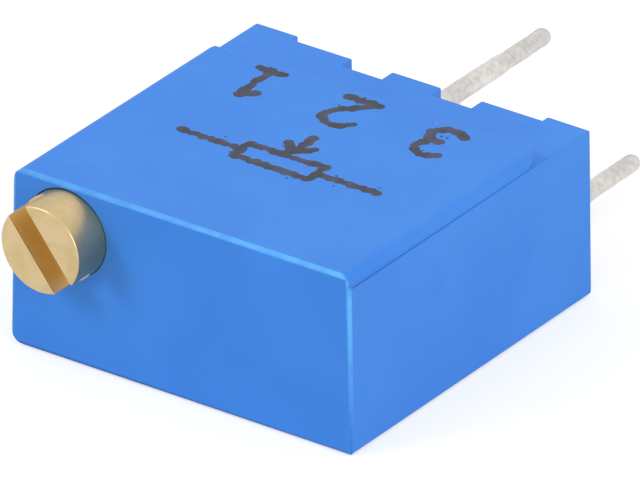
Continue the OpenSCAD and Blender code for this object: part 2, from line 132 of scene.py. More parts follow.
class Graph:
    """Writes nodes into a shader or geometry tree"""

    def __init__(self, tree):
        self.tree = tree

    def node(self, kind, inputs=None, out=None, **settings):
        """Adds a node: its settings first, then the values or links of its sockets"""
        node = self.tree.nodes.new(kind)
        for name, setting in settings.items():
            setattr(node, name, setting)
        for name, given in (inputs or {}).items():
            socket = node.inputs[name] if isinstance(name, int) else named(node.inputs, name)
            if isinstance(given, Value):
                self.tree.links.new(given.socket, socket)
            else:
                socket.default_value = given
        return Value(self, named(node.outputs, out)) if node.outputs else None

    def coordinates(self, vector):
        """The three coordinates of a vector"""
        kind = "ShaderNodeSeparateXYZ"
        return {letter: self.node(kind, {"Vector": vector}, out=letter) for letter in "XYZ"}

    def mixed(self, share, first, second):
        """A colour between two colours"""
        inputs = {"Factor": share, "A": first, "B": second}
        return self.node("ShaderNodeMix", inputs, data_type="RGBA")


def named(sockets, name):
    """The first socket in use, or the first in use with this name"""
    return next(socket for socket in sockets if socket.enabled and name in (None, socket.name))


class Finish(Graph):
    """A material whose patterns read the place on the object, in millimetres"""

    def __init__(self, name):
        self.material = bpy.data.materials.new(name)
        self.material.use_nodes = True
        super().__init__(self.material.node_tree)
        self.tree.nodes.clear()
        place = self.node("ShaderNodeTexCoord", out="Object")
        self.place = self.node("ShaderNodeVectorMath", {0: place, "Scale": 1 / MM}, operation="SCALE")

    def noise(self, waves, detail=2.0, stretch=(1, 1, 1), distortion=0.0):
        """Soft noise with so many waves a millimetre, from 0 to 1"""
        vector = self.node("ShaderNodeMapping", {"Vector": self.place, "Scale": stretch})
        inputs = {"Vector": vector, "Scale": waves, "Detail": detail, "Distortion": distortion}
        return self.node("ShaderNodeTexNoise", inputs)

    def axis(self, letter):
        """One coordinate of the place on the object, in millimetres"""
        return self.node("ShaderNodeSeparateXYZ", {"Vector": self.place}, out=letter)

    def bumped(self, height, depth):
        """A normal from a height between 0 and 1 that stands for so many millimetres"""
        return self.node("ShaderNodeBump", {"Height": height, "Distance": depth * MM})

    def finished(self, sockets):
        """Ends the material in a Principled shader with these sockets set"""
        shader = self.node("ShaderNodeBsdfPrincipled", sockets)
        self.node("ShaderNodeOutputMaterial", {"Surface": shader})
        return self.material


def screen(red, green, blue):
    """An 8-bit screen colour as a linear colour"""
    def channel(level):
        share = level / 255
        return share / 12.92 if share <= 0.04045 else ((share + 0.055) / 1.055) ** 2.4
    return (channel(red), channel(green), channel(blue), 1.0)


def moulded_plastic(name, colour, shade, roughness=0.42, edge=None):
    """Moulded thermoset: faint flow marks and a fine etched skin. An edge colour adds a painted highlight
    on the narrow edge faces round the screw face, stronger to the right, and pale dust"""
    finish = Finish(name)
    flow = finish.noise(0.35, 3.0, distortion=0.6).eased(0.3, 0.7)
    grain = finish.noise(9.0, 3.0)
    base = finish.mixed(flow, colour, shade)
    if edge:
        # Painted highlight: the narrow edge faces round the screw face are lightened towards the edge
        # colour, unevenly and more to the right, in place of light caught by the edge roundings.
        painted_highlight = finish.node("ShaderNodeAttribute", out="Fac", attribute_name=HIGHLIGHT_ATTRIBUTE)
        uneven = finish.noise(2.2, 4.0).eased(0.25, 0.6, 0.45, 1.0)
        highlight_to_the_right = finish.axis("X").eased(-4.0, 4.5, 0.6, 0.95)
        base = finish.mixed(painted_highlight * uneven * highlight_to_the_right, base, edge)
        speck = finish.noise(3.2, 1.0).eased(0.8, 0.86)
        base = finish.mixed(speck * 0.4, base, screen(190, 215, 245))
    rough = roughness + 0.12 * finish.noise(1.1, 4.0) + 0.06 * grain
    skin = finish.bumped(grain * 0.75 + 0.25 * finish.noise(1.3), 0.0016)
    return finish.finished({"Base Color": base, "Roughness": rough, "Normal": skin, "IOR": 1.45})


def turned_brass():
    """Turned brass: rings left by the tool round the screw's axis, and a warm tarnish in patches"""
    finish = Finish("turned_brass")
    centre = {"Vector": finish.place, "Location": (-SCREW_X, 0, -SCREW_Z)}
    centred = finish.node("ShaderNodeMapping", centre)
    flat = finish.node("ShaderNodeVectorMath", {0: centred, 1: (1, 0, 1)}, operation="MULTIPLY")
    radius = finish.node("ShaderNodeVectorMath", {0: flat}, out="Value", operation="LENGTH")
    ring_place = finish.node("ShaderNodeCombineXYZ", {"X": radius, "Y": finish.axis("Y")})
    rings = finish.node("ShaderNodeTexNoise", {"Vector": ring_place, "Scale": 14.0, "Detail": 3.0})
    tarnish = finish.noise(1.6, 4.0, distortion=0.8)
    lean = math.radians(SCREW_TURN)
    across = (math.cos(lean), 0, math.sin(lean))
    offset = finish.node("ShaderNodeVectorMath", {0: centred, 1: across}, out="Value",
                         operation="DOT_PRODUCT")
    between = 1 - offset.maths("ABSOLUTE", offset).eased(SLOT_W / 2, SLOT_W / 2 + 0.012)
    below = finish.axis("Y").eased(HEAD_Y + 0.01, HEAD_Y + 0.06)
    floor_edge = 1 - finish.axis("Y").eased(HEAD_Y + SLOT_DEPTH + 0.01, HEAD_Y + SLOT_DEPTH + 0.03)
    inside = between * below * floor_edge
    gold = finish.mixed(tarnish.eased(0.35, 0.7), (0.62, 0.48, 0.27, 1), (0.56, 0.42, 0.21, 1))
    base = finish.mixed(inside, gold, finish.mixed(tarnish, (0.7, 0.5, 0.19, 1), (0.82, 0.64, 0.33, 1)))
    rough = 0.3 + 0.14 * tarnish + 0.12 * inside
    marks = finish.bumped(rings * 0.8 + 0.2 * finish.noise(22.0), 0.004)
    return finish.finished({"Base Color": base, "Metallic": 1.0, "Roughness": rough, "Normal": marks})


def plain_metal(name, colour, worn, roughness):
    """Metal with patches of a second tone and a slightly uneven skin"""
    finish = Finish(name)
    patches = finish.noise(1.2, 4.0, stretch=(1, 0.4, 1), distortion=0.4)
    ripple = finish.noise(3.0, 3.0)
    base = finish.mixed(patches.eased(0.4, 0.65), colour, worn)
    rough = roughness + 0.2 * patches
    return finish.finished({"Base Color": base, "Metallic": 1.0, "Roughness": rough,
                            "Normal": finish.bumped(ripple, 0.003)})


def dipped_tin():
    """Hot-dipped tin: a frosty, grainy skin with duller patches and a few bright pimples"""
    finish = Finish("tinned_wire")
    patches = finish.noise(1.0, 4.0, stretch=(1, 0.5, 1), distortion=0.5)
    grain = finish.noise(7.0, 4.0)
    pimple = finish.noise(4.5, 1.0).eased(0.66, 0.74)
    tone = finish.mixed(patches.eased(0.35, 0.65), (0.76, 0.735, 0.69, 1), (0.64, 0.62, 0.59, 1))
    base = finish.mixed(grain.eased(0.35, 0.7) * 0.4, tone, (0.4, 0.385, 0.36, 1))
    height = grain * 0.6 + 0.4 * pimple
    return finish.finished({"Base Color": base, "Metallic": 1.0, "Roughness": 0.3 + 0.2 * patches,
                            "Normal": finish.bumped(height, 0.022)})


def fired_film(name, colour, shade, metallic, roughness):
    """A printed and fired film: the print's soft mottle and its rough, dry skin"""
    finish = Finish(name)
    mottle = finish.noise(6.0, 4.0)
    base = finish.mixed(mottle.eased(0.35, 0.65), colour, shade)
    return finish.finished({"Base Color": base, "Metallic": metallic, "Roughness": roughness + 0.2 * mottle,
                            "Normal": finish.bumped(finish.noise(18.0), 0.002)})


def cast_resin():
    """Cast resin: a glossy skin that stands in slow waves, with small pits of burst bubbles"""
    finish = Finish("potting_resin")
    slow = finish.noise(0.5, 2.0)
    pits = finish.node("ShaderNodeTexVoronoi", {"Vector": finish.place, "Scale": 1.4}, out="Distance")
    pit = pits.eased(0.03, 0.09)
    base = finish.mixed(slow.eased(0.3, 0.7), screen(24, 56, 128), screen(30, 66, 146))
    height = slow * 0.6 + 0.4 * pit
    return finish.finished({"Base Color": base, "Roughness": 0.12 + 0.12 * finish.noise(2.0),
                            "Normal": finish.bumped(height, 0.015)})


def printed_ink():
    """Marking ink: a dark grey-brown, thinner in places"""
    finish = Finish("marking_ink")
    thin = finish.noise(2.5, 3.0)
    base = finish.mixed(thin.eased(0.35, 0.7), screen(52, 52, 62), screen(76, 78, 98))
    return finish.finished({"Base Color": base, "Roughness": 0.55 + 0.2 * thin,
                            "Normal": finish.bumped(thin, 0.002)})


BRASS = turned_brass()
INK = printed_ink()
FINISHES = {
    # The housing's last colour is its painted edge highlight.
    "housing_plastic": moulded_plastic("housing_plastic", screen(56, 138, 235), screen(51, 132, 230), 0.42,
                                       screen(96, 186, 255)),
    "turned_brass": BRASS,
    "seal_rubber": moulded_plastic("seal_rubber", screen(24, 24, 26), screen(34, 34, 36), 0.6),
    "clip_bronze": plain_metal("clip_bronze", (0.72, 0.5, 0.28, 1), (0.6, 0.4, 0.2, 1), 0.25),
    "rotor_plastic": moulded_plastic("rotor_plastic", screen(232, 229, 214), screen(222, 218, 200), 0.45),
    "contact_alloy": plain_metal("contact_alloy", (0.8, 0.76, 0.66, 1), (0.7, 0.66, 0.56, 1), 0.18),
    "ceramic": moulded_plastic("ceramic", screen(236, 235, 228), screen(228, 226, 216), 0.6),
    "cermet": fired_film("cermet", screen(30, 28, 28), screen(44, 42, 40), 0.0, 0.5),
    "printed_conductor": fired_film("printed_conductor", (0.6, 0.58, 0.54, 1), (0.48, 0.46, 0.42, 1),
                                    1.0, 0.35),
    "tinned_wire": dipped_tin(),
    "solder": plain_metal("solder", (0.62, 0.62, 0.63, 1), (0.5, 0.5, 0.52, 1), 0.2),
    "dam_plastic": moulded_plastic("dam_plastic", screen(44, 90, 170), screen(40, 84, 160), 0.5),
    "potting_resin": cast_resin(),
}
SLOTS = {entry["node"]: entry["material_slot"] for entry in frame["record"]["subparts"]}


def new_piece(name, mesh):
    """An object at the origin for a finished mesh"""
    piece = bpy.data.objects.new(name, mesh)
    bpy.context.collection.objects.link(piece)
    return piece


def smoothed(mesh, angle=40):
    """Smooth shading that keeps edges sharper than so many degrees"""
    mesh.shade_smooth()
    mesh.set_sharp_from_angle(angle=math.radians(angle))


def settled(piece):
    """Turns a piece's modifiers into its own mesh"""
    depsgraph = bpy.context.evaluated_depsgraph_get()
    mesh = bpy.data.meshes.new_from_object(piece.evaluated_get(depsgraph))
    piece.modifiers.clear()
    piece.data = mesh
    mesh.name = piece.name
    return piece


def dressed(piece, slot, body, *nodes):
    """Gives a finished piece its material, slot, body and the nodes that it stands for"""
    piece.data.materials.clear()
    piece.data.materials.append(FINISHES[slot])
    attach(piece, body)
    if nodes:
        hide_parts(*nodes)
    return piece


def merged_copy(node, name, join=0.0004):
    """A copy of a CAD node's mesh with its loose triangles joined, and flat faces made one"""
    mesh = frame["nodes"][node].data.copy()
    mesh.name = name
    form = bmesh.new()
    form.from_mesh(mesh)
    bmesh.ops.remove_doubles(form, verts=form.verts, dist=join * MM)
    bmesh.ops.dissolve_limit(form, angle_limit=math.radians(0.6), verts=form.verts, edges=form.edges)
    form.to_mesh(mesh)
    form.free()
    mesh.materials.clear()
    return new_piece(name, mesh)


def soften(piece, width, chosen, crease=32, segments=2):
    """Rounds the chosen edges, and shades large faces flat and small ones smoothly, with a crease where
    two faces meet at more than so many degrees"""
    mesh = piece.data
    form = bmesh.new()
    form.from_mesh(mesh)
    weight = form.edges.layers.float.new("bevel_weight_edge")
    for edge in form.edges:
        if len(edge.link_faces) == 2 and chosen(edge):
            edge[weight] = 1.0
    form.to_mesh(mesh)
    form.free()
    bevel = piece.modifiers.new("soft_edges", "BEVEL")
    bevel.width = width * MM
    bevel.segments = segments
    bevel.limit_method = "WEIGHT"
    bevel.use_clamp_overlap = False
    settled(piece)
    smoothed(piece.data, crease)
    normals = piece.modifiers.new("even_shading", "WEIGHTED_NORMAL")
    normals.keep_sharp = True
    normals.weight = 100
    return settled(piece)


def mark_painted_highlight(mesh):
    """Marks the points of narrow faces round the screw face, where the material paints a highlight"""
    narrow = 0.7 * MM * MM
    lowest = 0.2
    widest = [0.0] * len(mesh.vertices)
    for face in mesh.polygons:
        for index in face.vertices:
            widest[index] = max(widest[index], face.area)
    share = mesh.attributes.new(HIGHLIGHT_ATTRIBUTE, "FLOAT", "POINT")
    for vertex in mesh.vertices:
        y, z = vertex.co.y / MM, vertex.co.z / MM
        near_face = y < FRONT_Y + HIGHLIGHT_DEPTH - 0.01
        share.data[vertex.index].value = float(near_face and widest[vertex.index] < narrow and z > lowest)


def housing_shell():
    """The moulding, with the edges of its rim a little soft. A row of points behind the screw face keeps
    the painted edge highlight there"""
    piece = merged_copy("housing", "housing_shell", join=0.016)
    side_x = high("housing").x - 0.12
    form = bmesh.new()
    form.from_mesh(piece.data)
    everything = form.verts[:] + form.edges[:] + form.faces[:]
    behind_face = (0, (FRONT_Y + HIGHLIGHT_DEPTH) * MM, 0)
    bmesh.ops.bisect_plane(form, geom=everything, plane_co=behind_face, plane_no=(0, 1, 0))
    form.to_mesh(piece.data)
    form.free()

    def at_rim(edge):
        ends = [vertex.co / MM for vertex in edge.verts]
        behind_resin = min(end.y for end in ends) > SEAL_Y + 0.01
        side_edge = all(abs(end.x) > side_x for end in ends) and max(end.y for end in ends) > RIM_Y
        return edge.calc_face_angle(0) > math.radians(50) and (behind_resin or side_edge)

    soften(piece, 0.04, at_rim, crease=50)
    under_ink = (PANEL_Z - INK_THICKNESS) * MM
    for vertex in piece.data.vertices:
        vertex.co.z = min(vertex.co.z, under_ink)
    mark_painted_highlight(piece.data)
    return dressed(piece, "housing_plastic", "case", "housing")


def spun(outline, steps):
    """A closed form turned round the Y axis from pairs of radius and station"""
    form = bmesh.new()
    rings = []
    for radius, station in outline:
        if radius == 0:
            rings.append([form.verts.new((0, station, 0))])
            continue
        turns = [2 * math.pi * step / steps for step in range(steps)]
        rings.append([form.verts.new((radius * math.sin(a), station, radius * math.cos(a))) for a in turns])
    for first, second in zip(rings, rings[1:]):
        for step in range(steps):
            after = (step + 1) % steps
            corners = [first[step % len(first)], first[after % len(first)],
                       second[after % len(second)], second[step % len(second)]]
            form.faces.new(list(dict.fromkeys(corners)))
    bmesh.ops.recalc_face_normals(form, faces=form.faces)
    mesh = bpy.data.meshes.new("turned")
    form.to_mesh(mesh)
    form.free()
    return mesh


def rounded(centre_radius, centre_station, radius, start, end, steps=5):
    """Stations of a small rounding on a turned outline, between two angles in degrees"""
    angles = [math.radians(start + (end - start) * step / steps) for step in range(steps + 1)]
    return [(centre_radius + radius * math.cos(a), centre_station + radius * math.sin(a)) for a in angles]


def screw_outline():
    """Radius and station of the turned screw, with its rims rounded a little"""
    soft = 0.05
    groove_r, neck_r, tail_r = 0.63, 0.62, 0.5
    groove_y, groove_l, collar_l, neck_l = FRONT_Y + 0.45, 0.58, 0.18, 0.3
    neck_y = groove_y + groove_l + collar_l
    collar_y = neck_y + neck_l + collar_l
    worm_y = WHEEL_Y + WORM_PITCH * (WORM_TURNS + 1) / 2 + 0.05
    tail_y = worm_y + 0.8
    head = [(0, HEAD_Y)] + rounded(SCREW_R - soft, HEAD_Y + soft, soft, -90, 0)
    body = [
        (SCREW_R, groove_y), (groove_r, groove_y), (groove_r, groove_y + groove_l),
        (SCREW_R, groove_y + groove_l), (SCREW_R, neck_y), (neck_r, neck_y),
        (neck_r, neck_y + neck_l), (SCREW_R, neck_y + neck_l), (SCREW_R, collar_y),
        (WORM_ROOT_R, collar_y), (WORM_ROOT_R, worm_y), (tail_r, worm_y),
    ]
    return head + body + rounded(tail_r - 0.1, tail_y - 0.1, 0.1, 0, 90) + [(0, tail_y)]


def geometry_graph(name, sizes):
    """A Geometry Nodes tree with one geometry and these named sizes as its inputs"""
    tree = bpy.data.node_groups.new(name, "GeometryNodeTree")
    tree.interface.new_socket("Geometry", in_out="INPUT", socket_type="NodeSocketGeometry")
    for size, default in sizes.items():
        socket = tree.interface.new_socket(size, in_out="INPUT", socket_type="NodeSocketFloat")
        socket.default_value = default
    tree.interface.new_socket("Geometry", in_out="OUTPUT", socket_type="NodeSocketGeometry")
    graph = Graph(tree)
    entry = tree.nodes.new("NodeGroupInput")
    graph.given = {socket.name: Value(graph, socket) for socket in entry.outputs if socket.name}
    return graph


def ended(graph, geometry, material):
    """Ends a Geometry Nodes tree: instances made real, and the material set"""
    real = graph.node("GeometryNodeRealizeInstances", {"Geometry": geometry})
    finished = graph.node("GeometryNodeSetMaterial", {"Geometry": real, "Material": material})
    graph.node("NodeGroupOutput", {"Geometry": finished})


def grown(piece, graph, sizes):
    """Runs a Geometry Nodes tree on an object with these sizes, and keeps the result as a mesh object"""
    modifier = piece.modifiers.new("grow", "NODES")
    modifier.node_group = graph.tree
    for socket in graph.tree.interface.items_tree:
        if socket.in_out == "INPUT" and socket.name in sizes:
            modifier[socket.identifier] = sizes[socket.name]
    depsgraph = bpy.context.evaluated_depsgraph_get()
    mesh = bpy.data.meshes.new_from_object(piece.evaluated_get(depsgraph))
    name = piece.name
    bpy.data.objects.remove(piece)
    mesh.name = name
    return new_piece(name, mesh)


def thread_graph():
    """A four-sided bar wound into the worm's thread: its corners follow the helix and the flanks' slope"""
    graph = geometry_graph("worm_thread", {"Turns": 6.0, "Pitch": 0.5, "Tip": 1.0, "Root": 0.6,
                                           "Pitch radius": 0.8, "Half width": 0.1, "Start": 0.0})
    given = graph.given
    bar = graph.node("GeometryNodeMeshCylinder", {"Vertices": 4, "Side Segments": 240, "Depth": 1.0,
                                                  "Radius": 1.0}, fill_type="NGON")
    corner = graph.node("GeometryNodeInputPosition")
    split = graph.coordinates(corner)
    outward = (split["X"] + split["Y"]) * 0.5 + 0.5
    side = split["X"] - split["Y"]
    along = split["Z"] + 0.5
    radius = given["Root"] + outward * (given["Tip"] - given["Root"])
    slope = math.tan(math.radians(PRESSURE_ANGLE))
    width = given["Half width"] - (radius - given["Pitch radius"]) * slope
    turn = along * given["Turns"] * (2 * math.pi)
    x = radius * turn.maths("SINE", turn)
    z = radius * turn.maths("COSINE", turn)
    y = given["Start"] + along * given["Turns"] * given["Pitch"] + side * width
    place = graph.node("ShaderNodeCombineXYZ", {"X": x, "Y": y, "Z": z})
    wound = graph.node("GeometryNodeSetPosition", {"Geometry": bar, "Position": place})
    ended(graph, wound, BRASS)
    return graph


def adjusting_screw():
    """The turned screw with its worm thread and its driver slot, whose edges are slightly rounded"""
    core = new_piece("adjusting_screw", spun(screw_outline(), 128))
    cutter_form = bmesh.new()
    bmesh.ops.create_cube(cutter_form, size=1.0)
    shape = Matrix.Diagonal((SLOT_W, 2 * SLOT_DEPTH, 4 * SCREW_R, 1))
    turn = Matrix.Rotation(math.radians(-SCREW_TURN), 4, "Y")
    bmesh.ops.transform(cutter_form, matrix=Matrix.Translation((0, HEAD_Y, 0)) @ turn @ shape,
                        verts=cutter_form.verts)
    slot = bpy.data.meshes.new("slot_cutter")
    cutter_form.to_mesh(slot)
    cutter_form.free()
    cutter = new_piece("slot_cutter", slot)
    cut = core.modifiers.new("driver_slot", "BOOLEAN")
    cut.operation = "DIFFERENCE"
    cut.solver = "EXACT"
    cut.object = cutter
    settled(core)
    bpy.data.objects.remove(cutter)

    seed = new_piece("thread_seed", bpy.data.meshes.new("thread_seed"))
    thread = grown(seed, thread_graph(), {
        "Turns": WORM_TURNS, "Pitch": WORM_PITCH, "Tip": WORM_TIP_R, "Root": WORM_ROOT_R - 0.03,
        "Pitch radius": WORM_PITCH_R, "Half width": WORM_PITCH / 4 - FLANK_GAP / 2,
        "Start": WHEEL_Y + WORM_PITCH / 4 - WORM_PITCH * WORM_TURNS / 2,
    })
    form = bmesh.new()
    form.from_mesh(core.data)
    form.from_mesh(thread.data)
    bmesh.ops.transform(form, matrix=Matrix.Scale(MM, 4) @ Matrix.Translation((SCREW_X, 0, SCREW_Z)),
                        verts=form.verts)
    bmesh.ops.recalc_face_normals(form, faces=form.faces)
    head_back = (FRONT_Y - 0.2) * MM
    head = [vertex for vertex in form.verts if vertex.co.y < head_back]
    bmesh.ops.remove_doubles(form, verts=head, dist=0.002 * MM)
    head = [vertex for vertex in form.verts if vertex.co.y < head_back]
    cuts = [edge for edge in form.edges if all(vertex.co.y < head_back for vertex in edge.verts)]
    bmesh.ops.dissolve_limit(form, angle_limit=math.radians(0.6), verts=head, edges=cuts)
    form.to_mesh(core.data)
    form.free()
    bpy.data.objects.remove(thread)

    def slot_edge(edge):
        on_head = all(vertex.co.y < head_back for vertex in edge.verts)
        return on_head and edge.calc_face_angle(0) > math.radians(40)

    soften(core, 0.018, slot_edge)
    return dressed(core, "turned_brass", "adjuster", "adjustment_screw")


def wire_graph():
    """A bent wire: its path's corner rounded, thinner at its end, with a round tip and an uneven skin"""
    graph = geometry_graph("terminal_wire", {"Bend": 0.3 * MM, "Radius": 0.24 * MM,
                                             "End radius": 0.2 * MM, "Taper from": 1.0, "Taper to": 2.0,
                                             "Tip": 3.0, "Unevenness": 0.01 * MM})
    given = graph.given
    bent = graph.node("GeometryNodeFilletCurve", {"Curve": given["Geometry"], "Radius": given["Bend"],
                                                  "Count": 16, "Limit Radius": True}, mode="POLY")
    fine = graph.node("GeometryNodeResampleCurve", {"Curve": bent, "Length": 0.02 * MM}, mode="LENGTH")
    place = graph.node("GeometryNodeInputPosition")
    y = graph.node("ShaderNodeSeparateXYZ", {"Vector": place}, out="Y")
    taper = y.eased(given["Taper from"], given["Taper to"])
    straight = given["Radius"] + taper * (given["End radius"] - given["Radius"])
    past = y.maths("MAXIMUM", y - (given["Tip"] - given["End radius"]), 0.0)
    inside = y.maths("MAXIMUM", given["End radius"] * given["End radius"] - past * past, 1e-11)
    round_tip = y.maths("SQRT", inside) / given["End radius"]
    radius = straight * round_tip
    ring = graph.node("GeometryNodeCurvePrimitiveCircle", {"Resolution": 40, "Radius": 1.0}, mode="RADIUS")
    tube = graph.node("GeometryNodeCurveToMesh", {"Curve": fine, "Profile Curve": ring, "Scale": radius,
                                                  "Fill Caps": True})
    uneven = graph.node("ShaderNodeTexNoise", {"Vector": place, "Scale": 1.8 / MM, "Detail": 2.0})
    outwards = graph.node("GeometryNodeInputNormal")
    rise = (uneven - 0.5) * given["Unevenness"]
    swell = graph.node("ShaderNodeVectorMath", {0: outwards, "Scale": rise}, operation="SCALE")
    along = y.eased(given["Tip"] - given["End radius"], given["Tip"], 1.0, 0.0)
    faded = graph.node("ShaderNodeVectorMath", {0: swell, "Scale": along}, operation="SCALE")
    dipped = graph.node("GeometryNodeSetPosition", {"Geometry": tube, "Offset": faded})
    ended(graph, dipped, FINISHES["tinned_wire"])
    return graph


def path_object(name, paths, unit=MM):
    """A curve object with one open polyline for each path in millimetres"""
    curve = bpy.data.curves.new(name, "CURVE")
    curve.dimensions = "3D"
    for path in paths:
        spline = curve.splines.new("POLY")
        spline.points.add(len(path) - 1)
        for point, place in zip(spline.points, path):
            point.co = (*(length * unit for length in place), 1.0)
    piece = bpy.data.objects.new(name, curve)
    bpy.context.collection.objects.link(piece)
    return piece


def wire_place(number):
    """Where a terminal leaves, across the housing and in height"""
    return (number - 2) * PIN_PITCH, PIN_LOW_Z + PIN_PITCH * (number == 2)


def terminals():
    """The three wires, each from its joint inside the housing to its tip"""
    graph = wire_graph()
    leg_y = 2.88
    joint_z = {1: 1.825, 2: 0.88, 3: 1.825}
    lengths = {"Bend": PIN_BEND_R, "Radius": PIN_R, "End radius": PIN_END_R, "Tip": TIP_Y,
               "Taper from": TAPER_START_Y, "Taper to": TAPER_END_Y, "Unevenness": 0.04}
    sizes = {name: length * MM for name, length in lengths.items()}
    for number in (1, 2, 3):
        x, z = wire_place(number)
        corners = [(x, leg_y, joint_z[number]), (x, leg_y, z), (x, TIP_Y, z)]
        path = path_object(f"wire_{number}", [corners])
        wire = grown(path, graph, sizes)
        form = bmesh.new()
        form.from_mesh(wire.data)
        bmesh.ops.remove_doubles(form, verts=form.verts, dist=0.0002 * MM)
        bmesh.ops.recalc_face_normals(form, faces=form.faces)
        form.to_mesh(wire.data)
        form.free()
        smoothed(wire.data, 85)
        dressed(wire, "tinned_wire", "case", f"terminal_{number}")


def resin_height(x, z, start, end):
    """How far the resin's skin stands above its middle: it climbs at the walls and the wires"""
    walls = (x - start.x, end.x - x, z - start.z, end.z - z)
    climb = sum(0.11 * math.exp(-wall / 0.13) for wall in walls)
    for number in (1, 2, 3):
        wire_x, wire_z = wire_place(number)
        gap = max(math.hypot(x - wire_x, z - wire_z) - PIN_R, 0)
        climb = max(climb, 0.16 * math.exp(-gap / 0.09))
    wave = 0.006 * math.sin(1.3 * x + 0.4) * math.cos(1.7 * z)
    return 0.008 + climb + wave


def resin_skin():
    """A closed slab whose upper side is the resin's skin and whose root lies inside the resin"""
    start, end = low("end_seal"), high("end_seal")
    columns, rows = 150, 62
    form = bmesh.new()
    skin = {}
    for column in range(columns + 1):
        for row in range(rows + 1):
            x = start.x + (end.x - start.x) * column / columns
            z = start.z + (end.z - start.z) * row / rows
            y = SEAL_Y + resin_height(x, z, start, end)
            skin[column, row] = form.verts.new((x * MM, y * MM, z * MM))
    for column in range(columns):
        for row in range(rows):
            form.faces.new([skin[column, row], skin[column, row + 1], skin[column + 1, row + 1],
                            skin[column + 1, row]])
    round_it = [(column, 0) for column in range(columns)]
    round_it += [(columns, row) for row in range(rows)]
    round_it += [(columns - column, rows) for column in range(columns)]
    round_it += [(0, rows - row) for row in range(rows)]
    rim = [skin[place] for place in round_it]
    root = [form.verts.new((vertex.co.x, (SEAL_Y - RESIN_ROOT) * MM, vertex.co.z)) for vertex in rim]
    for step in range(len(rim)):
        form.faces.new([rim[step - 1], rim[step], root[step], root[step - 1]])
    form.faces.new(root)
    bmesh.ops.recalc_face_normals(form, faces=form.faces)
    mesh = bpy.data.meshes.new("resin_skin")
    form.to_mesh(mesh)
    form.free()
    return new_piece("resin_skin", mesh)


def resin_fill():
    """The cast resin between the terminals, made one with its skin"""
    piece = merged_copy("end_seal", "resin_fill")
    skin = resin_skin()
    union = piece.modifiers.new("skin", "BOOLEAN")
    union.operation = "UNION"
    union.solver = "EXACT"
    union.object = skin
    settled(piece)
    bpy.data.objects.remove(skin)
    smoothed(piece.data, 50)
    return dressed(piece, "potting_resin", "case", "end_seal")


def stroke_arc(centre, width, height, start, end, steps=8):
    """Points on part of an ellipse, between two angles in degrees"""
    angles = [math.radians(start + (end - start) * step / steps) for step in range(steps + 1)]
    return [(centre[0] + width * math.cos(a), centre[1] + height * math.sin(a)) for a in angles]


# Strokes of the marks, right and up as they are read
NUMERALS = {
    1: [[(-0.2, 0.28), (0.05, 0.5), (0.05, -0.5)], [(-0.2, -0.5), (0.3, -0.5)]],
    2: [stroke_arc((0, 0.2), 0.3, 0.3, 165, -35) + [(-0.3, -0.5), (0.32, -0.5)]],
    3: [stroke_arc((0, 0.24), 0.27, 0.26, 150, -90) + stroke_arc((0, -0.24), 0.31, 0.26, 90, -150)],
}


def element_symbol():
    """The plain drawing of a variable resistor: a box between two leads, and an open arrow to it"""
    half, rise, lead = 1.05, 0.34, 2.7
    box = [(-half, -rise), (half, -rise), (half, rise), (-half, rise), (-half, -rise)]
    tap, head = -rise - 0.2, 0.36
    return [box, [(-lead, 0), (-half, 0)], [(half, 0), (lead, 0)], [(0, tap - 0.85), (0, tap)],
            [(-head, tap - head), (0, tap), (head, tap - head)]]


def on_panel(strokes, centre, size):
    """Strokes laid out on the panel, to be read from the terminals' end"""
    return [[(centre[0] - size * x, centre[1] - size * y, 0) for x, y in stroke] for stroke in strokes]


def ink_graph():
    """Ink drops set side by side along the strokes, as a marking jet lays them, with stray drops round
    them. The drops run together into one skin, which is then pressed flat on the panel."""
    graph = geometry_graph("ink_dots", {"Step": 0.1, "Drop": 0.1, "Stray": 0.2, "Thickness": 0.004})
    given = graph.given
    random_value = "FunctionNodeRandomValue"

    def drops(step, drop, spread, seed, keep):
        points = graph.node("GeometryNodeResampleCurve", {"Curve": given["Geometry"], "Length": step},
                            mode="LENGTH")
        cloud = graph.node("GeometryNodeCurveToPoints", {"Curve": points}, mode="EVALUATED")
        corner = graph.node("ShaderNodeCombineXYZ", {"X": spread, "Y": spread})
        back = graph.node("ShaderNodeVectorMath", {0: corner, "Scale": -1.0}, operation="SCALE")
        shift = graph.node(random_value, {"Min": back, "Max": corner, "Seed": seed},
                           data_type="FLOAT_VECTOR")
        moved = graph.node("GeometryNodeSetPosition", {"Geometry": cloud, "Offset": shift})
        spare = graph.node(random_value, {"Probability": 1 - keep, "Seed": seed + 1}, data_type="BOOLEAN")
        kept = graph.node("GeometryNodeDeleteGeometry", {"Geometry": moved, "Selection": spare},
                          domain="POINT")
        size = graph.node(random_value, {"Min": 0.78, "Max": 1.15, "Seed": seed + 2}, data_type="FLOAT")
        inputs = {"Points": kept, "Radius": drop * size, "Voxel Size": 0.022, "Density": 1.0}
        wet = graph.node("GeometryNodePointsToVolume", inputs, resolution_mode="VOXEL_SIZE")
        return graph.node("GeometryNodeVolumeToMesh", {"Volume": wet, "Threshold": 0.1, "Adaptivity": 0.02})

    strokes = drops(given["Step"], given["Drop"], given["Drop"] * 0.24, 11, 1.0)
    specks = drops(given["Step"] * 0.6, given["Drop"] * 0.28, given["Stray"], 23, 0.16)
    both = graph.tree.nodes.new("GeometryNodeJoinGeometry")
    for geometry in (strokes, specks):
        graph.tree.links.new(geometry.socket, both.inputs[0])
    place = graph.node("GeometryNodeInputPosition")
    split = graph.coordinates(place)
    flat = graph.node("ShaderNodeCombineXYZ", {
        "X": split["X"], "Y": split["Y"], "Z": split["Z"] * given["Thickness"] / (2 * given["Drop"]),
    })
    together = Value(graph, both.outputs[0])
    pressed = graph.node("GeometryNodeSetPosition", {"Geometry": together, "Position": flat})
    ended(graph, pressed, INK)
    return graph


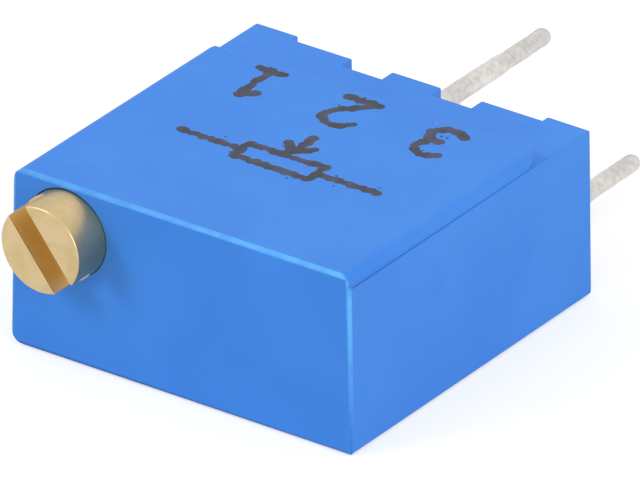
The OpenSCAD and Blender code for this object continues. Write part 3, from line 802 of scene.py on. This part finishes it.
def marking():
    """Plain terminal numbers and the symbol of a variable resistor, printed on the raised panel"""
    strokes = on_panel(element_symbol(), (0.1, -0.95), 1.0)
    for number, shapes in NUMERALS.items():
        strokes += on_panel(shapes, ((number - 2) * PIN_PITCH, 1.9), 1.4)
    marks = grown(path_object("ink_marks", strokes, 1.0), ink_graph(), {
        "Step": 0.125, "Drop": 0.13, "Stray": 0.3, "Thickness": INK_THICKNESS,
    })
    top = PANEL_Z - INK_THICKNESS / 2
    lowest = PANEL_Z - 1.6 * INK_THICKNESS
    for vertex in marks.data.vertices:
        z = min(max(top + vertex.co.z, lowest), PANEL_Z)
        vertex.co = (vertex.co.x * MM, vertex.co.y * MM, z * MM)
    marks.data.shade_smooth()
    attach(marks, "case")


def inner_pieces():
    """Every CAD node gets the finish of its slot"""
    for node, piece in frame["nodes"].items():
        piece.data.materials.clear()
        piece.data.materials.append(FINISHES[SLOTS[node]])


def seen_share(graph):
    """One where the camera looks at something, itself or in a reflection, and nothing for other light"""
    seen = graph.node("ShaderNodeLightPath", out="Is Camera Ray")
    for ray in ("Is Glossy Ray", "Is Transmission Ray"):
        seen = seen.maths("MAXIMUM", seen, graph.node("ShaderNodeLightPath", out=ray))
    return seen


def floor():
    """A wide pale floor that the camera sees as white, apart from the part's soft shadow"""
    finish = Finish("pale_floor")
    seen = seen_share(finish)
    matt = finish.node("ShaderNodeBsdfDiffuse", {"Color": (0.6, 0.6, 0.6, 1)})
    glow = finish.node("ShaderNodeEmission", {"Strength": seen * 0.55})
    both = finish.node("ShaderNodeAddShader", {0: matt, 1: glow})
    finish.node("ShaderNodeOutputMaterial", {"Surface": both})
    form = bmesh.new()
    bmesh.ops.create_circle(form, cap_ends=True, radius=2.0, segments=64)
    mesh = bpy.data.meshes.new("pale_floor")
    form.to_mesh(mesh)
    form.free()
    mesh.materials.append(finish.material)
    plane = new_piece("pale_floor", mesh)
    plane.location.z = -0.02 * MM


def soft_lamp(name, place, aim, size, energy):
    """A square soft lamp at a place, aimed at a point"""
    lamp = bpy.data.lights.new(name, "AREA")
    lamp.size = size
    lamp.energy = energy
    holder = bpy.data.objects.new(name, lamp)
    bpy.context.collection.objects.link(holder)
    holder.location = place
    holder.rotation_euler = (Vector(aim) - Vector(place)).to_track_quat("-Z", "Y").to_euler()


def surroundings():
    """White surroundings, one soft lamp from the left, one from the right and one above"""
    world = bpy.data.worlds.new("white_room")
    bpy.context.scene.world = world
    world.use_nodes = True
    graph = Graph(world.node_tree)
    world.node_tree.nodes.clear()
    seen = seen_share(graph)
    room = 0.66
    brightness = room + seen * (1 - room)
    white = graph.node("ShaderNodeBackground", {"Color": (1, 1, 1, 1), "Strength": brightness})
    graph.node("ShaderNodeOutputWorld", {"Surface": white})
    aim = (0, 0, 0.002)
    soft_lamp("lamp_left", (-0.12, -0.17, 0.14), aim, 0.09, 0.17)
    soft_lamp("lamp_right", (0.22, -0.06, 0.09), aim, 0.14, 0.21)
    soft_lamp("lamp_above", (0.02, 0.06, 0.25), aim, 0.2, 0.04)


def camera():
    """The camera at the photograph's viewing angle, from its fitted place and directions"""
    data = bpy.data.cameras.new("camera")
    data.sensor_width = 36
    data.lens = 933.04
    data.clip_start = 0.01
    data.clip_end = 20
    right = Vector((0.81727828, 0.57623883, 0.00224214))
    down = Vector((0.27005468, -0.37957495, -0.8848691))
    forward = Vector((-0.50904488, 0.72378979, -0.46583436))
    turn = Matrix((right, -down, -forward)).transposed().to_4x4()
    holder = bpy.data.objects.new("camera", data)
    bpy.context.collection.objects.link(holder)
    holder.matrix_world = Matrix.Translation(Vector((193.300, -274.017, 178.599)) * MM) @ turn
    bpy.context.scene.camera = holder


camera()
inner_pieces()
housing_shell()
adjusting_screw()
terminals()
resin_fill()
marking()
floor()
surroundings()
bpy.context.scene.view_settings.view_transform = "Standard"
